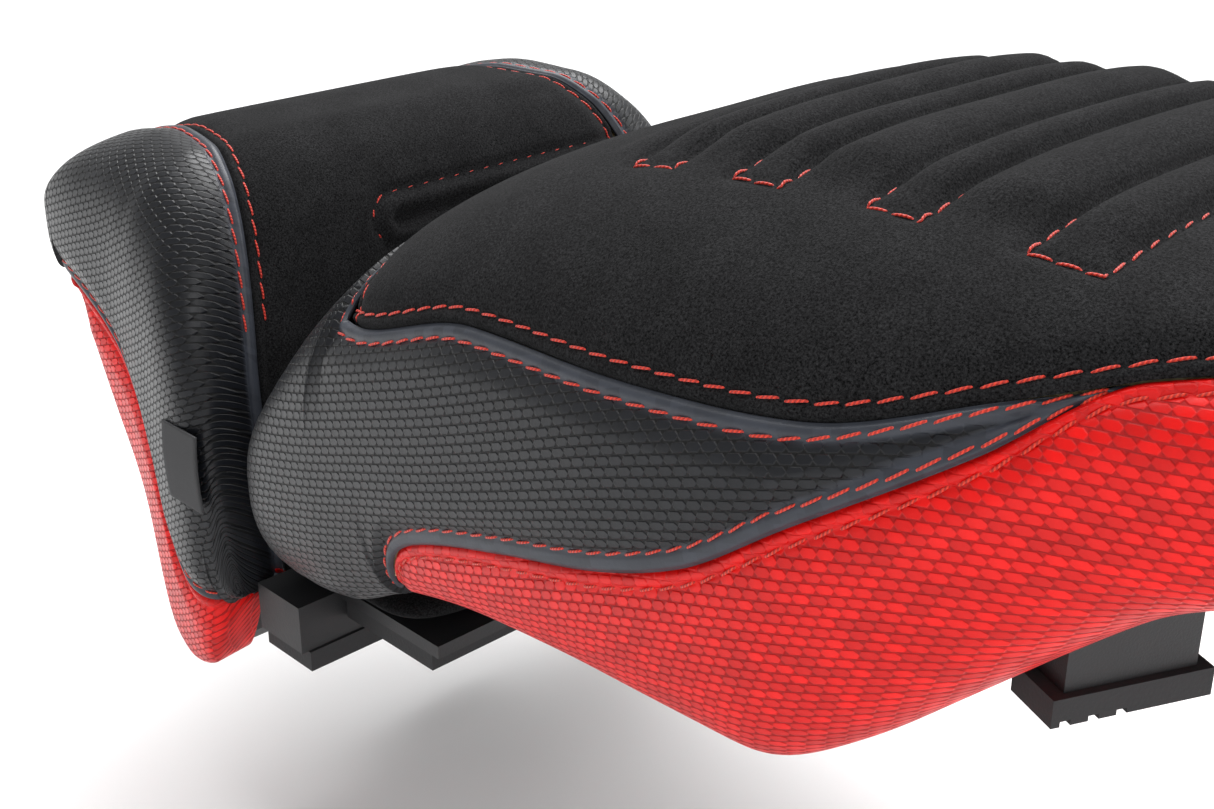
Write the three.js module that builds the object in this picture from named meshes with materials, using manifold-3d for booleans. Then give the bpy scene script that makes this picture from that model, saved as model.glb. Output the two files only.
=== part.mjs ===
// Two-piece motorcycle seat: a rider section and a passenger section behind it.
// Millimetres. +X points to the nose, +Y to the left, +Z up.
// Each section is a moulded pan, a foam core and a sewn cover made of panels.
import * as THREE from "three";
import { mergeVertices } from "three/addons/utils/BufferGeometryUtils.js";
import Module from "manifold-3d";

const wasm = await Module();
wasm.setup();

// ---- Driving dimensions ----
const riderLength = 480;
const riderWidth = 280;
const passengerLength = 150;
const passengerWidth = 260;
const sectionGap = 7; // between the two sections, fore and aft
const coverThickness = 3;
const panThickness = 5;
const clearance = 0.3; // between touching pieces
const coverEase = 0.6; // between a cover and what it is drawn over
const skirtOverhang = 3; // how far the cover hangs below the pan
const bumperLength = 46;
const bumperWidth = 18;
const bumperHeight = 8;
const bumperYaw = 65; // degrees that a front bumper turns from the length of the seat
const bumperTooth = 3;
const bumperToothPitch = 8;
const footLength = 70;
const footWidth = 40;
const footHeight = 8;
const passengerFootLength = 28;
const footDrop = 20; // from the pan's shelf down to the top of a passenger foot
const tongueThickness = 4;
const tongueWidth = 44;
const tongueReach = 38;
const screwHeadRadius = 6;
const screwHeadHeight = 3.5;
const screwSpacing = 24;
const bracketThickness = 4;
const bracketWidth = 30;
const lipLength = 84;
const lipWidth = 200;
const lipThickness = 12;
const lipFootHeight = 7;
const strikerBarRadius = 3.5;
const strikerWidth = 40;
const strikerDrop = 22;
const tagWidth = 22;
const tagHeight = 30;
const tagThickness = 1.2;
const lengthSteps = 20; // cross sections along a cushion
const sectionSides = 9; // points from the crown to the widest line
const tuckSides = 4; // points from the widest line to the hem
const skirtRoundness = 2.2; // exponent of the tucked-in skirt

// ---- Shape of each section, as curves along its length ----
// Lengths run from 0 at the rear to 1 at the front. Widths are shares of the half width.
// Heights are millimetres from the level of the rib ends.
const rider = {
  length: riderLength,
  halfWidth: riderWidth / 2,
  rear: -291,
  roundness: 3.2,
  wide: [[0, 0.7], [0.012, 0.82], [0.05, 0.92], [0.1, 0.945], [0.18, 0.965], [0.3, 0.985],
    [0.42, 1], [0.5, 0.99], [0.56, 0.955], [0.61, 0.9], [0.65, 0.83], [0.69, 0.745], [0.74, 0.67],
    [0.81, 0.595], [0.9, 0.53], [0.97, 0.46], [1, 0.34]],
  crown: [[0, -142], [0.012, -124], [0.04, -98], [0.08, -72], [0.12, -50], [0.17, -30], [0.22, -16],
    [0.28, -5], [0.4, 4], [0.52, 6], [0.62, 5], [0.75, 4], [0.9, 8], [0.97, 4],
    [1, -10]],
  waist: [[0, -150], [0.05, -134], [0.12, -112], [0.22, -92], [0.4, -80], [0.52, -74],
    [0.61, -58], [0.69, -42], [0.8, -32], [1, -34]],
  base: [[0, -158], [0.012, -166], [0.05, -172], [0.12, -168], [0.2, -150], [0.3, -140],
    [0.4, -137], [0.5, -137], [0.56, -122], [0.61, -102], [0.65, -84], [0.69, -70], [0.76, -62],
    [0.9, -56], [1, -52]],
  tuck: [[0, 0.6], [0.012, 0.7], [0.12, 0.8], [0.3, 0.82], [0.5, 0.79], [0.61, 0.68], [0.69, 0.54],
    [0.81, 0.46], [1, 0.28]],
};
rider.upperSeam = [[-400, 60], [-236, 40], [-222, -20], [-214, -60], [-200, -58], [-147, -42],
  [-83, -38], [-33, -33], [10, -19], [32, -12], [90, -4], [230, -4]];
rider.lowerSeam = [[-400, -260], [-206, -230], [-198, -150], [-186, -128], [-172, -119], [-130, -104],
  [-90, -92], [-62, -80], [-31, -58], [8, -31], [32, -12], [90, -4], [230, -4]];

const passenger = {
  length: passengerLength,
  halfWidth: passengerWidth / 2,
  rear: rider.rear - sectionGap - passengerLength,
  roundness: 6,
  wide: [[0, 0.7], [0.03, 0.8], [0.1, 0.85], [0.25, 0.88], [0.5, 0.91], [0.7, 0.96], [0.9, 1],
    [1, 0.96]],
  crown: [[0, -86], [0.03, -74], [0.08, -64], [0.2, -51], [0.35, -43], [0.5, -39], [0.65, -39],
    [0.78, -46], [0.87, -60], [0.93, -80], [0.97, -104], [1, -130]],
  waist: [[0, -86], [0.1, -88], [0.25, -96], [0.4, -108], [0.55, -124], [0.7, -150], [0.85, -165],
    [1, -170]],
  base: [[0, -92], [0.05, -98], [0.12, -102], [0.24, -110], [0.42, -150], [0.58, -188],
    [0.653, -230], [0.747, -238], [0.84, -234], [0.92, -212], [0.96, -196], [1, -195]],
  tuck: [[0, 0.64], [0.1, 0.82], [0.5, 0.92], [1, 0.92]],
};
passenger.lowerSeam = [[-470, -98], [-440, -101], [-410, -105], [-380, -117], [-352, -145],
  [-342, -165], [-334, -187], [-320, -198], [-290, -201]];

// ---- Geometry helpers ----
function along(points, at) {
  let i = points.findIndex((p) => p[0] > at);
  if (i < 0) i = points.length - 1;
  i = Math.min(Math.max(i, 1), points.length - 1);
  const [x0, y0] = points[i - 1];
  const [x1, y1] = points[i];
  const before = points[i - 2] || points[i - 1];
  const after = points[i + 1] || points[i];
  const slope = (a, b) => (b[0] === a[0] ? 0 : (b[1] - a[1]) / (b[0] - a[0]));
  const middle = slope(points[i - 1], points[i]);
  const gentle = (s, t) => (s * t <= 0 ? 0 : (2 * s * t) / (s + t));
  const m0 = gentle(slope(before, points[i - 1]) || middle, middle) * (x1 - x0);
  const m1 = gentle(middle, slope(points[i], after) || middle) * (x1 - x0);
  const t = Math.min(Math.max((at - x0) / (x1 - x0), 0), 1);
  const s = 1 - t;
  return y0 * s * s * (1 + 2 * t) + y1 * t * t * (3 - 2 * t) + m0 * t * s * s - m1 * t * t * s;
}

function toSolid(geometry) {
  const bare = geometry.clone();
  bare.deleteAttribute("normal");
  bare.deleteAttribute("uv");
  const merged = mergeVertices(bare, 1e-4);
  return new wasm.Manifold(new wasm.Mesh({
    numProp: 3,
    vertProperties: new Float32Array(merged.attributes.position.array),
    triVerts: new Uint32Array(merged.index.array),
  }));
}

function toGeometry(solid) {
  const mesh = solid.getMesh();
  const geometry = new THREE.BufferGeometry();
  const position = new THREE.BufferAttribute(new Float32Array(mesh.vertProperties), 3);
  geometry.setAttribute("position", position);
  geometry.setIndex(new THREE.BufferAttribute(new Uint32Array(mesh.triVerts), 1));
  geometry.computeVertexNormals();
  return geometry;
}

function box(length, width, height, x, y, z, yaw = 0) {
  const geometry = new THREE.BoxGeometry(length, width, height);
  geometry.rotateZ(THREE.MathUtils.degToRad(yaw));
  geometry.translate(x, y, z);
  return toSolid(geometry);
}

// Rings of equal count joined into one closed body, with a fan on each end ring.
function skinRings(rings) {
  const count = rings[0].length;
  const position = rings.flat(2);
  const index = [];
  for (let i = 0; i < rings.length - 1; i += 1) {
    for (let j = 0; j < count; j += 1) {
      const a = i * count + j;
      const b = i * count + ((j + 1) % count);
      index.push(a, a + count, b, b, a + count, b + count);
    }
  }
  const last = (rings.length - 1) * count;
  for (let j = 1; j < count - 1; j += 1) {
    index.push(0, j, j + 1, last, last + j + 1, last + j);
  }
  const geometry = new THREE.BufferGeometry();
  geometry.setAttribute("position", new THREE.Float32BufferAttribute(position, 3));
  geometry.setIndex(index);
  return toSolid(geometry);
}

// The outer body of a section, drawn in by `inset`, with its underside moved up by `lift`.
// Without closed ends it stops at the first and last cross sections inside the end walls.
function sectionBody(shape, inset, lift, closeEnds = true) {
  const first = shape.rear + inset;
  const last = shape.rear + shape.length - inset;
  const between = [];
  for (let i = 1; i < lengthSteps; i += 1) {
    const even = i / lengthSteps;
    const t = 0.72 * (0.5 - 0.5 * Math.cos(Math.PI * even)) + 0.28 * even;
    const x = shape.rear + t * shape.length;
    if (x > first + 1 && x < last - 1) between.push(x);
  }
  const rings = [];
  for (const x of closeEnds ? [first, ...between, last] : between) {
    const at = (x - shape.rear) / shape.length;
    const wide = shape.halfWidth * along(shape.wide, at) - inset;
    const crown = along(shape.crown, at) - inset;
    const base = Math.min(along(shape.base, at) + lift, crown - 4);
    const waist = Math.min(Math.max(along(shape.waist, at), base + 2), crown - 2);
    const tuck = Math.min(shape.halfWidth * along(shape.tuck, at), wide + inset - 2) - inset;
    const half = [];
    for (let j = 0; j <= sectionSides; j += 1) {
      const a = (Math.PI / 2) * (j / sectionSides);
      const y = wide * Math.sin(a) ** (2 / shape.roundness);
      const z = waist + (crown - waist) * Math.cos(a) ** (2 / shape.roundness);
      half.push([x, y, z]);
    }
    for (let j = 1; j <= tuckSides; j += 1) {
      const a = (Math.PI / 2) * (j / tuckSides);
      const y = tuck + (wide - tuck) * Math.cos(a) ** (2 / skirtRoundness);
      const z = waist - (waist - base) * Math.sin(a) ** (2 / skirtRoundness);
      half.push([x, y, z]);
    }
    const mirrored = half.slice(1).reverse().map(([px, py, pz]) => [px, -py, pz]);
    rings.push([...half, ...mirrored]);
  }
  return skinRings(rings);
}

// Everything above the seam curve, seen from the side, as a plate that is wide across.
function aboveSeam(points, lift, from, to) {
  const outline = new THREE.Shape();
  const steps = 28;
  outline.moveTo(from, 300);
  for (let i = 0; i <= steps; i += 1) {
    const x = from + ((to - from) * i) / steps;
    outline.lineTo(x, along(points, x) + lift);
  }
  outline.lineTo(to, 300);
  const geometry = new THREE.ExtrudeGeometry(outline, { depth: 600, bevelEnabled: false });
  geometry.translate(0, 0, -300);
  geometry.rotateX(Math.PI / 2);
  return toSolid(geometry);
}

const biggest = (solid) => solid.decompose().sort((a, b) => b.volume() - a.volume())[0];
const half = (side) => box(900, 400, 900, -100, side * (200 + clearance / 2), -100);
const group = new THREE.Group();
const looks = {
  suede: new THREE.MeshStandardMaterial({ color: 0x141414, roughness: 0.95 }),
  carbonVinyl: new THREE.MeshStandardMaterial({ color: 0x24262a, roughness: 0.45 }),
  redVinyl: new THREE.MeshStandardMaterial({ color: 0xc8120c, roughness: 0.4 }),
  foam: new THREE.MeshStandardMaterial({ color: 0xd8c98a, roughness: 0.9 }),
  pan: new THREE.MeshStandardMaterial({ color: 0x1a1a1a, roughness: 0.55 }),
  rubber: new THREE.MeshStandardMaterial({ color: 0x101010, roughness: 0.8 }),
  steel: new THREE.MeshStandardMaterial({ color: 0x9a9da0, roughness: 0.35, metalness: 1 }),
};

function addPiece(name, solid, look) {
  const mesh = new THREE.Mesh(toGeometry(solid), looks[look].clone());
  mesh.name = name;
  group.add(mesh);
}

// ---- Rider section ----
const panLift = skirtOverhang;
const foamLift = panLift + panThickness + clearance;
const inner = coverThickness + coverEase;

function hollowCover(shape) {
  return sectionBody(shape, 0, 0).subtract(sectionBody(shape, coverThickness, -30));
}

// Everything above the underside curve of a section, raised by `lift`.
function overBase(shape, lift) {
  const curve = shape.base.map(([t, z]) => [shape.rear + t * shape.length, z]);
  return aboveSeam(curve, lift, shape.rear - 60, shape.rear + shape.length + 60);
}

// What fills a cover.
function fillingOf(shape) {
  return sectionBody(shape, inner, panLift, false);
}

function foamOf(shape) {
  return biggest(fillingOf(shape).intersect(overBase(shape, foamLift)));
}

function panOf(shape) {
  return fillingOf(shape).subtract(overBase(shape, panLift + panThickness));
}

const riderCover = hollowCover(rider);
const riderTop = aboveSeam(rider.upperSeam, clearance, -400, 230);
const riderMiddle = aboveSeam(rider.lowerSeam, clearance, -400, 230);
const riderUpperEdge = aboveSeam(rider.upperSeam, 0, -400, 230);
const riderLowerEdge = aboveSeam(rider.lowerSeam, 0, -400, 230);
addPiece("rider_foam_core", foamOf(rider), "foam");
addPiece("rider_centre_panel", biggest(riderCover.intersect(riderTop)), "suede");
const riderBand = riderCover.intersect(riderMiddle).subtract(riderUpperEdge);
const riderSkirt = riderCover.subtract(riderLowerEdge).subtract(riderUpperEdge);
for (const [name, side] of [["left", 1], ["right", -1]]) {
  addPiece("rider_side_panel_" + name, biggest(riderBand.intersect(half(side))), "carbonVinyl");
  addPiece("rider_skirt_" + name, biggest(riderSkirt.intersect(half(side))), "redVinyl");
}

// ---- Passenger section ----
// Its centre panel widens towards the foot of the steep front face.
const passengerFront = passenger.rear + passengerLength;
const passengerPanelHalf = [[-500, 66], [-430, 70], [-371, 77], [-330, 88], [-306, 98],
  [-298, 104], [-250, 108]];
function passengerPanel(margin) {
  const outline = new THREE.Shape();
  const from = passenger.rear - 20;
  const to = passengerFront + 20;
  const steps = 16;
  const edge = [];
  for (let i = 0; i <= steps; i += 1) {
    const x = from + ((to - from) * i) / steps;
    edge.push([x, along(passengerPanelHalf, x) + margin]);
  }
  edge.forEach(([x, y], i) => (i ? outline.lineTo(x, y) : outline.moveTo(x, y)));
  edge.reverse().forEach(([x, y]) => outline.lineTo(x, -y));
  const geometry = new THREE.ExtrudeGeometry(outline, { depth: 400, bevelEnabled: false });
  geometry.translate(0, 0, -300);
  return toSolid(geometry);
}
// A shelf of the pan leaves the cover at the foot of the front face.
const lipTop = along(rider.base, 0.05) - 5;
const shelfTop = lipTop - lipThickness - clearance;
const shelfWidth = lipWidth - 10;
const shelfSlot = box(30, shelfWidth + 2 * clearance, 30, passengerFront, 0, shelfTop + clearance - 15);
const passengerCover = hollowCover(passenger).subtract(shelfSlot);
const passengerSkirtTop = aboveSeam(passenger.lowerSeam, 0, -480, -260);
const passengerBandBottom = aboveSeam(passenger.lowerSeam, clearance, -480, -260);
const passengerFoamSpace = fillingOf(passenger).intersect(overBase(passenger, panLift + panThickness));
addPiece("passenger_foam_core", foamOf(passenger), "foam");
const passengerTopOnly = passengerCover.intersect(passengerPanel(0)).intersect(passengerBandBottom);
addPiece("passenger_centre_panel", biggest(passengerTopOnly), "suede");
const passengerSides = passengerCover.subtract(passengerPanel(clearance));
for (const [name, side] of [["left", 1], ["right", -1]]) {
  const band = passengerSides.intersect(passengerBandBottom).intersect(half(side));
  const skirt = passengerCover.subtract(passengerSkirtTop).intersect(half(side));
  addPiece("passenger_side_panel_" + name, biggest(band), "carbonVinyl");
  addPiece("passenger_skirt_" + name, biggest(skirt), "redVinyl");
}

// ---- Pans and what is fixed under them ----
// A pad stands on a flat boss of the pan, so each boss ends level below the curved pan.
const boss = 2;
function underPan(shape, x) {
  return along(shape.base, (x - shape.rear) / shape.length) + panLift;
}

// Rubber bumper with a toothed end, standing on the frame rail.
function bumper(x, y, top, yaw) {
  let solid = box(bumperLength, bumperWidth, bumperHeight, 0, 0, top - bumperHeight / 2);
  for (let i = 0; i < 3; i += 1) {
    const toothX = -bumperLength / 2 + bumperToothPitch * (i + 0.5);
    solid = solid.subtract(box(bumperTooth, bumperWidth + 2, bumperTooth, toothX, 0, top - bumperHeight));
  }
  return solid.rotate([0, 0, yaw]).translate([x, y, 0]);
}

function screw(x, y, top) {
  const head = new THREE.CylinderGeometry(screwHeadRadius, screwHeadRadius, screwHeadHeight, 16);
  head.rotateX(Math.PI / 2);
  head.translate(x, y, top - screwHeadHeight / 2);
  const socket = new THREE.CylinderGeometry(screwHeadRadius / 2, screwHeadRadius / 2, screwHeadHeight, 6);
  socket.rotateX(Math.PI / 2);
  socket.translate(x, y, top - screwHeadHeight);
  return toSolid(head).subtract(toSolid(socket));
}

const riderBumpers = [["front", rider.rear + 0.635 * riderLength, 60, bumperYaw],
  ["rear", rider.rear + 0.32 * riderLength, 84, 0]];
const notRiderFoam = overBase(rider, panLift + panThickness);
let riderPan = biggest(panOf(rider));
function bumperLevel([, x, , yaw]) {
  const turn = THREE.MathUtils.degToRad(yaw);
  const reach = (bumperLength * Math.cos(turn) + bumperWidth * Math.sin(turn)) / 2;
  const ends = [x - reach, x + reach].map((end) => underPan(rider, end));
  return Math.min(...ends) - boss;
}
for (const spec of riderBumpers) {
  const [name, x, y, yaw] = spec;
  const level = bumperLevel(spec);
  const tall = underPan(rider, x) - level + panThickness + 12;
  for (const [sideName, side] of [["left", 1], ["right", -1]]) {
    riderPan = riderPan.add(box(bumperLength - 8, bumperWidth - 4, tall, x, side * y,
      level + tall / 2, -side * yaw).subtract(notRiderFoam));
    addPiece("rider_bumper_" + name + "_" + sideName,
      bumper(x, side * y, level - clearance, side < 0 ? yaw : -yaw), "rubber");
  }
}

// Nose tongue that hooks under the tank bracket.
const tongueX = rider.rear + 0.93 * riderLength;
const tongueTop = underPan(rider, tongueX - 20) - boss;
riderPan = riderPan.add(box(46, tongueWidth + 10, panThickness + boss, tongueX - 16, 0,
  tongueTop + (panThickness + boss) / 2).subtract(notRiderFoam));
const tongueLength = 40 + tongueReach;
addPiece("rider_nose_tongue", box(tongueLength, tongueWidth, tongueThickness,
  tongueX - 36 + tongueLength / 2, 0, tongueTop - clearance - tongueThickness / 2), "steel");
const tongueUnder = tongueTop - 2 * clearance - tongueThickness;
for (const [name, side] of [["left", 1], ["right", -1]]) {
  const y = (side * screwSpacing) / 2;
  addPiece("rider_nose_tongue_screw_" + name, screw(tongueX - 22, y, tongueUnder), "steel");
}

// Side brackets at the back of the rider pan, each bolted to the frame.
const bracketX = rider.rear + 0.17 * riderLength;
const bracketTop = underPan(rider, bracketX - 15) - boss - 4;
for (const [name, side] of [["left", 1], ["right", -1]]) {
  const y = side * 64;
  const padHeight = underPan(rider, bracketX + 20) - bracketTop + panThickness - 1;
  riderPan = riderPan.add(box(bracketWidth + 8, 34, padHeight, bracketX, y, bracketTop + padHeight / 2)
    .subtract(notRiderFoam));
  const flange = box(bracketWidth, 30, bracketThickness, bracketX, y,
    bracketTop - clearance - bracketThickness / 2);
  addPiece("rider_rear_bracket_" + name, flange, "steel");
  const under = bracketTop - 2 * clearance - bracketThickness;
  addPiece("rider_rear_bracket_screw_" + name, screw(bracketX, y, under), "steel");
}
addPiece("rider_pan", riderPan, "pan");

// ---- Passenger pan, its feet, lip, tongue and striker ----
let passengerPan = biggest(panOf(passenger));
const notPassengerFoam = overBase(passenger, panLift + panThickness);
const footX = passengerFront + 1 + passengerFootLength / 2;
const footBase = shelfTop - footDrop;
for (const [name, side] of [["left", 1], ["right", -1]]) {
  const y = side * (passenger.halfWidth * 0.7);
  passengerPan = passengerPan.add(box(passengerFootLength - 2, footWidth + 6, footDrop - 1, footX, y,
    footBase + (footDrop - 1) / 2));
  addPiece("passenger_foot_" + name, box(passengerFootLength, footWidth, footHeight, footX, y,
    footBase - clearance - footHeight / 2), "rubber");
}
// The shelf runs forward under the tail of the rider section and carries the padded lip.
const shelfRoot = 9;
const shelfLength = lipLength + shelfRoot;
passengerPan = passengerPan.add(box(shelfLength, shelfWidth, panThickness,
  passengerFront - shelfRoot + shelfLength / 2, 0, shelfTop - panThickness / 2)
  .subtract(passengerFoamSpace));
function roundedPad(length, width, height, x, z, radius) {
  const outline = new THREE.Shape();
  outline.moveTo(0, -width / 2);
  outline.lineTo(length - radius, -width / 2);
  outline.quadraticCurveTo(length, -width / 2, length, -width / 2 + radius);
  outline.lineTo(length, width / 2 - radius);
  outline.quadraticCurveTo(length, width / 2, length - radius, width / 2);
  outline.lineTo(0, width / 2);
  const bevel = Math.min(4, height / 3);
  const geometry = new THREE.ExtrudeGeometry(outline, {
    depth: height - 2 * bevel, bevelThickness: bevel, bevelSize: bevel, bevelOffset: -bevel,
    bevelSegments: 2, curveSegments: 6,
  });
  geometry.translate(x, 0, z + bevel);
  return toSolid(geometry);
}
const lipFrom = passengerFront + 4;
addPiece("passenger_front_lip_pad", roundedPad(lipLength - 8, lipWidth, lipThickness, lipFrom,
  shelfTop + clearance, 36), "suede");
for (const [name, side] of [["left", 1], ["right", -1]]) {
  addPiece("passenger_lip_foot_" + name, box(footLength - 20, footWidth, lipFootHeight,
    passengerFront + lipLength / 2 + 12, side * (lipWidth / 2 - footWidth / 2 - 6),
    shelfTop - panThickness - clearance - lipFootHeight / 2), "rubber");
}
const hookTop = shelfTop - panThickness - clearance;
addPiece("passenger_tongue", box(tongueReach + 30, tongueWidth, tongueThickness,
  passengerFront + lipLength - 30 + (tongueReach + 30) / 2, 0, hookTop - tongueThickness / 2), "steel");
for (const [name, side] of [["left", 1], ["right", -1]]) {
  addPiece("passenger_tongue_screw_" + name, screw(passengerFront + lipLength - 18,
    (side * screwSpacing) / 2, hookTop - tongueThickness - clearance), "steel");
}

// Latch striker: a U of round bar on a plate, under the middle of the passenger pan.
const strikerX = passenger.rear + 0.74 * passengerLength;
const strikerBase = underPan(passenger, strikerX) - boss;
const plateTop = strikerBase - clearance;
passengerPan = passengerPan.add(box(40, strikerWidth + 30, 20, strikerX, 0, strikerBase + 10)
  .subtract(notPassengerFoam));
const legs = [[-1, 0], [-1, -strikerDrop], [1, -strikerDrop], [1, 0]].map(([side, z]) =>
  new THREE.Vector3(strikerX, (side * strikerWidth) / 2, plateTop - tongueThickness + 1 + z));
let striker = box(26, strikerWidth + 22, tongueThickness, strikerX, 0, plateTop - tongueThickness / 2);
for (let i = 0; i < 3; i += 1) {
  const length = legs[i].distanceTo(legs[i + 1]) + (i === 1 ? 2 * strikerBarRadius : 0);
  const bar = new THREE.CylinderGeometry(strikerBarRadius, strikerBarRadius, length, 12);
  if (i !== 1) bar.rotateX(Math.PI / 2);
  const centre = legs[i].clone().add(legs[i + 1]).multiplyScalar(0.5);
  bar.translate(centre.x, centre.y, centre.z);
  striker = striker.add(toSolid(bar));
}
addPiece("passenger_latch_striker", striker, "steel");
addPiece("passenger_pan", passengerPan, "pan");

// Blank tag sewn flat against the right side panel.
const tagX = passengerFront - tagWidth / 2 - 1;
addPiece("passenger_side_tag", box(tagWidth, tagThickness, tagHeight, tagX,
  -passenger.halfWidth - tagThickness / 2 - clearance, -142), "suede");

// The seat's frame has its origin midway between the front bumpers, at the level they rest on.
const restLevel = bumperLevel(riderBumpers[0]) - clearance - bumperHeight;
group.position.set(-riderBumpers[0][1], 0, -restLevel);
const seat = new THREE.Group();
seat.add(group);

export default seat;
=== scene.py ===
import math
import bpy
import numpy as np
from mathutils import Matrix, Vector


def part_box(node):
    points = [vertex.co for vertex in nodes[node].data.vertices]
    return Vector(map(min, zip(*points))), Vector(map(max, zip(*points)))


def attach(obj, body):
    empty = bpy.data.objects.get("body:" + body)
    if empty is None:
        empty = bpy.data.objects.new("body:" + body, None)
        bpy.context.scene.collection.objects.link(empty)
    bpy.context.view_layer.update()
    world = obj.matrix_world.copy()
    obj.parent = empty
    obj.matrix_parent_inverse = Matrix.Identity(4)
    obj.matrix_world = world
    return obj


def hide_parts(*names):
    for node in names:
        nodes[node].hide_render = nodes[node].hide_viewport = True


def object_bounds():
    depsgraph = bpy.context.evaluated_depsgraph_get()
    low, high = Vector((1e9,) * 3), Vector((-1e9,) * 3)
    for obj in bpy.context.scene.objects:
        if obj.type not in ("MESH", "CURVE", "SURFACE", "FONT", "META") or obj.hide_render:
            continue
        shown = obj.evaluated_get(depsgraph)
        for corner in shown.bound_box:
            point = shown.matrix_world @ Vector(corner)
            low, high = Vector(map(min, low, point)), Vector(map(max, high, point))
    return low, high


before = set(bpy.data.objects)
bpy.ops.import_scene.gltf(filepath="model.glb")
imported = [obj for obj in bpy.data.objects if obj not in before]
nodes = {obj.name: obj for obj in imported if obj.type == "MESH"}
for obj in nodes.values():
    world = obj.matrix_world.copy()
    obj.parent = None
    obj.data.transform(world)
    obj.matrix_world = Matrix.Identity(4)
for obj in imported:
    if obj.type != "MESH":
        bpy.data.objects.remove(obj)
cad_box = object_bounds()
scene = bpy.context.scene

# ---- Camera, light and floor ----
# The camera stands beside the seat's right flank, a little ahead of its middle, and looks back
# across both cushions. The floor is one pale flat sheet that runs out of sight, lit by large
# soft lamps.
camera_data = bpy.data.cameras.new("camera")
camera_data.lens = 50
camera_data.sensor_width = 36
camera_data.clip_start = 0.01
camera = bpy.data.objects.new("camera", camera_data)
scene.collection.objects.link(camera)
camera.location = (0.1681, -0.3968, 0.2365)
look_down, look_round = 24, 46  # degrees below level, and turned from +Y towards the tail
camera.rotation_euler = (math.radians(90 - look_down), 0, math.radians(look_round))
scene.camera = camera
scene.view_settings.view_transform = "Standard"


def soft_lamp(name, place, target, size, power):
    """A rectangular area lamp at `place`, turned so that its own -Z points at `target`."""
    data = bpy.data.lights.new(name, "AREA")
    data.shape = "RECTANGLE"
    data.size, data.size_y = size
    data.energy = power
    lamp = bpy.data.objects.new(name, data)
    scene.collection.objects.link(lamp)
    lamp.location = place
    aim = np.array(target) - np.array(place)
    flat = math.hypot(aim[0], aim[1])
    lamp.rotation_euler = (math.atan2(flat, -aim[2]), 0, math.atan2(-aim[0], aim[1]))


soft_lamp("lamp_over_tail", (-0.75, 0.55, 0.95), (-0.1, 0, 0.05), (0.9, 0.7), 10)
soft_lamp("lamp_far_side", (0.35, 1.1, 0.75), (-0.1, 0, 0.1), (1.0, 0.6), 6)
soft_lamp("lamp_near_nose", (0.9, -0.7, 0.7), (0, -0.05, 0.05), (0.6, 0.6), 4)
sky_data = bpy.data.lights.new("overhead_sheet", "SUN")
sky_data.energy = 2.3
sky_data.angle = math.radians(70)
sky = bpy.data.objects.new("overhead_sheet", sky_data)
scene.collection.objects.link(sky)
sky.rotation_euler = (math.radians(-22), math.radians(-14), 0)

world = bpy.data.worlds.new("pale_room")
scene.world = world
world.use_nodes = True
backdrop = world.node_tree.nodes["Background"]
backdrop.inputs["Color"].default_value = (1, 1, 1, 1)
backdrop.inputs["Strength"].default_value = 0.5


def grid_mesh(name, places, uv=None, closed=False):
    """A mesh whose vertices are an n by m table of points joined into quads, and optionally
    closed on itself across the second direction. `uv` is a table of the same size."""
    n, m = places.shape[:2]
    mesh = bpy.data.meshes.new(name)
    index = np.arange(n * m).reshape(n, m)
    right = np.roll(index, -1, axis=1) if closed else index[:, 1:]
    left = index if closed else index[:, :-1]
    quads = np.stack([left[:-1], right[:-1], right[1:], left[1:]], -1).reshape(-1, 4)
    mesh.vertices.add(n * m)
    mesh.vertices.foreach_set("co", places.reshape(-1).astype(np.float32))
    mesh.loops.add(quads.size)
    mesh.loops.foreach_set("vertex_index", quads.reshape(-1).astype(np.int32))
    mesh.polygons.add(len(quads))
    mesh.polygons.foreach_set("loop_start", np.arange(0, quads.size, 4, dtype=np.int32))
    mesh.polygons.foreach_set("use_smooth", np.ones(len(quads), bool))
    if uv is not None:
        layer = mesh.uv_layers.new(name="cloth")
        corners = uv.reshape(-1, 2)[quads.reshape(-1)]
        layer.data.foreach_set("uv", corners.reshape(-1).astype(np.float32))
    mesh.update(calc_edges=True)
    mesh.validate()
    piece = bpy.data.objects.new(name, mesh)
    scene.collection.objects.link(piece)
    return piece


floor_half = 25  # metres, so that its far edge is out of sight
floor_gap = 0.03  # the seat hangs this far above the floor
span = np.linspace(-1, 1, 25) * floor_half
floor_x, floor_y = np.meshgrid(span - 0.1, span, indexing="ij")
floor_z = np.full_like(floor_x, cad_box[0][2] - floor_gap)
floor = grid_mesh("floor", np.stack([floor_x, floor_y, floor_z], -1))
pale = bpy.data.materials.new("pale_floor")
pale.use_nodes = True
pale_shader = pale.node_tree.nodes["Principled BSDF"]
pale_shader.inputs["Base Color"].default_value = (0.97, 0.97, 0.97, 1)
pale_shader.inputs["Roughness"].default_value = 0.6
floor.data.materials.append(pale)

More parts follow.
